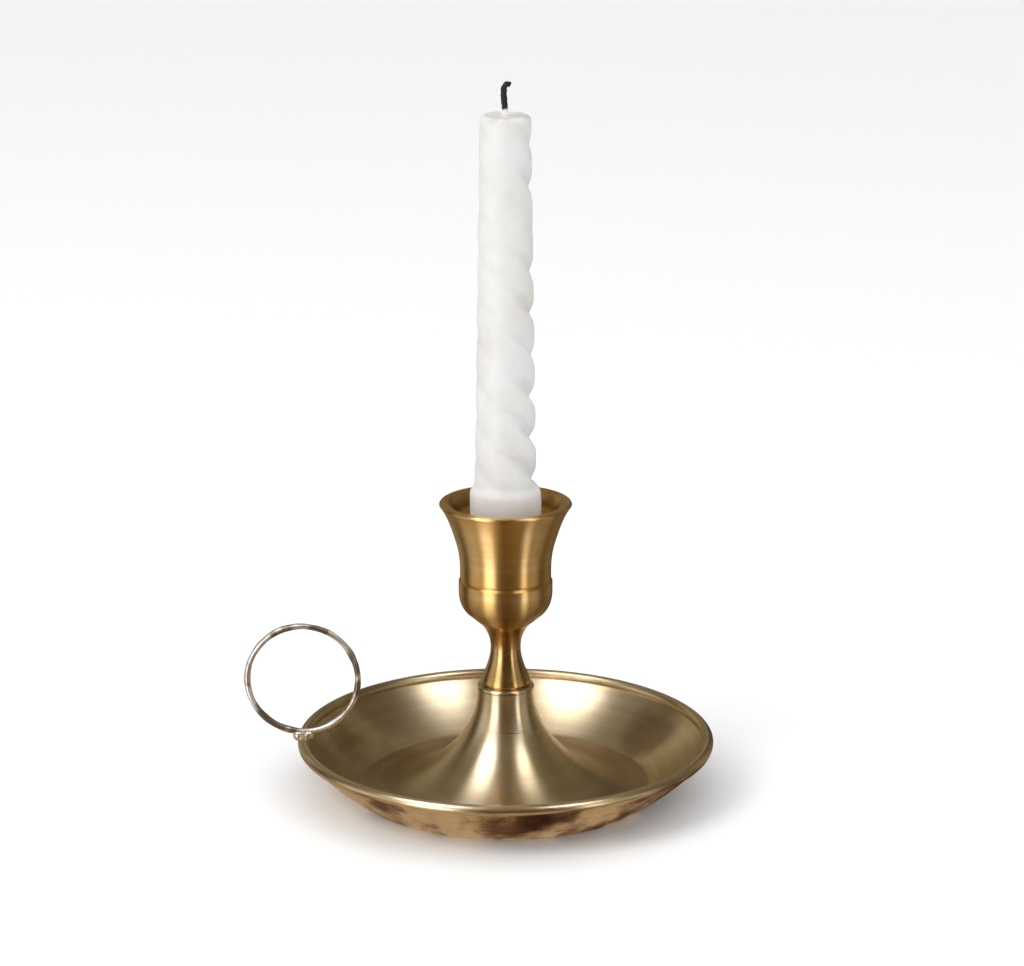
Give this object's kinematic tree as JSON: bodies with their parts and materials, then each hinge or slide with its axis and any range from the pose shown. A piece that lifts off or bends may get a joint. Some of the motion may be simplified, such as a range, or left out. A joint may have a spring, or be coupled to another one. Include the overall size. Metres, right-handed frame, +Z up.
{
  "type": "brass candlestick",
  "caption": "Low brass chamberstick: round drip pan with rolled rim and upright finger ring, trumpet pillar, turned stem and flared cup that holds a lift-out twisted white taper candle.",
  "frame": {"origin": "on the turning axis, on the plane of the flat foot that rests on the table", "axes": "+Z up along the turning axis of pan, stem, cup and candle; the finger ring stands on the rim at -X"},
  "size_m": [0.1479, 0.131, 0.2241],
  "materials": {
    "pan_brass": "fine turned satin with soft gloss, pale greenish gold",
    "cup_brass": "turned and polished, warm gold",
    "ring_brass": "hand-worked and polished, pale gold",
    "plated_steel": "zinc plated",
    "white_wax": "smooth translucent white wax",
    "wick_cotton": "braided cotton, charred black where it stands clear"
  },
  "bodies": {
    "holder": {"drip_pan": "pan_brass", "pillar": "pan_brass", "stem": "cup_brass", "candle_cup": "cup_brass", "tie_rod": "plated_steel", "washer": "plated_steel", "nut": "plated_steel", "finger_ring": "ring_brass", "ring_braze": "ring_brass"},
    "candle": {"candle": "white_wax", "wick": "wick_cotton"}
  },
  "joints": [
    {"name": "candle_lift", "type": "slide", "parent": "holder", "child": "candle", "axis": [0, 0, 1], "range_m": [0, 0.045]}
  ]
}
